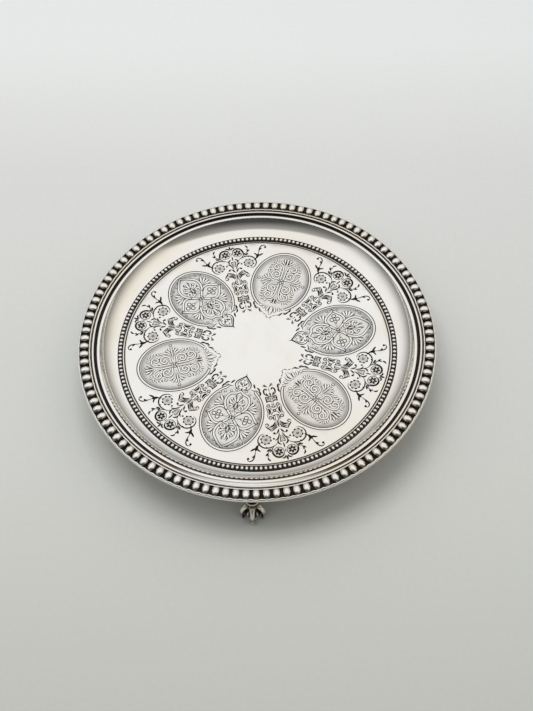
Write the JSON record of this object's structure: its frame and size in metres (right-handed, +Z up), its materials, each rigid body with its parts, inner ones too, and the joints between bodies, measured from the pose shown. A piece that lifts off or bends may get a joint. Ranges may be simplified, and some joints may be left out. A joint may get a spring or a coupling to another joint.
{
  "type": "footed salver",
  "caption": "Round footed salver: flat centre, concave wall, reeded and beaded border, fine beaded wire round the flat, and claw-and-ball feet.",
  "frame": {"origin": "on the table, under the centre of the plate", "axes": "+Z up, square to the flat; one foot lies on -Y and the other two at 30 and 150 degrees from +X"},
  "size_m": [0.205, 0.205, 0.031],
  "materials": {
    "polished_silver": "polished sterling silver with fine wear",
    "engraved_plate": "polished silver, engraved and matted, darkened in the cuts",
    "oxidised_silver": "tarnish left in the trough between the beads",
    "cast_silver": "cast and chased silver, dark in the hollows"
  },
  "bodies": {
    "root": {"tray_plate": "engraved_plate", "reed_moulding": "polished_silver", "bead_channel": "oxidised_silver", "rim_beads": "polished_silver", "edge_wire": "polished_silver", "inner_bead_wire": "polished_silver", "front_foot_pad": "cast_silver", "front_foot_claw": "cast_silver", "front_foot_ball": "cast_silver", "right_foot_pad": "cast_silver", "right_foot_claw": "cast_silver", "right_foot_ball": "cast_silver", "left_foot_pad": "cast_silver", "left_foot_claw": "cast_silver", "left_foot_ball": "cast_silver"}
  },
  "joints": []
}
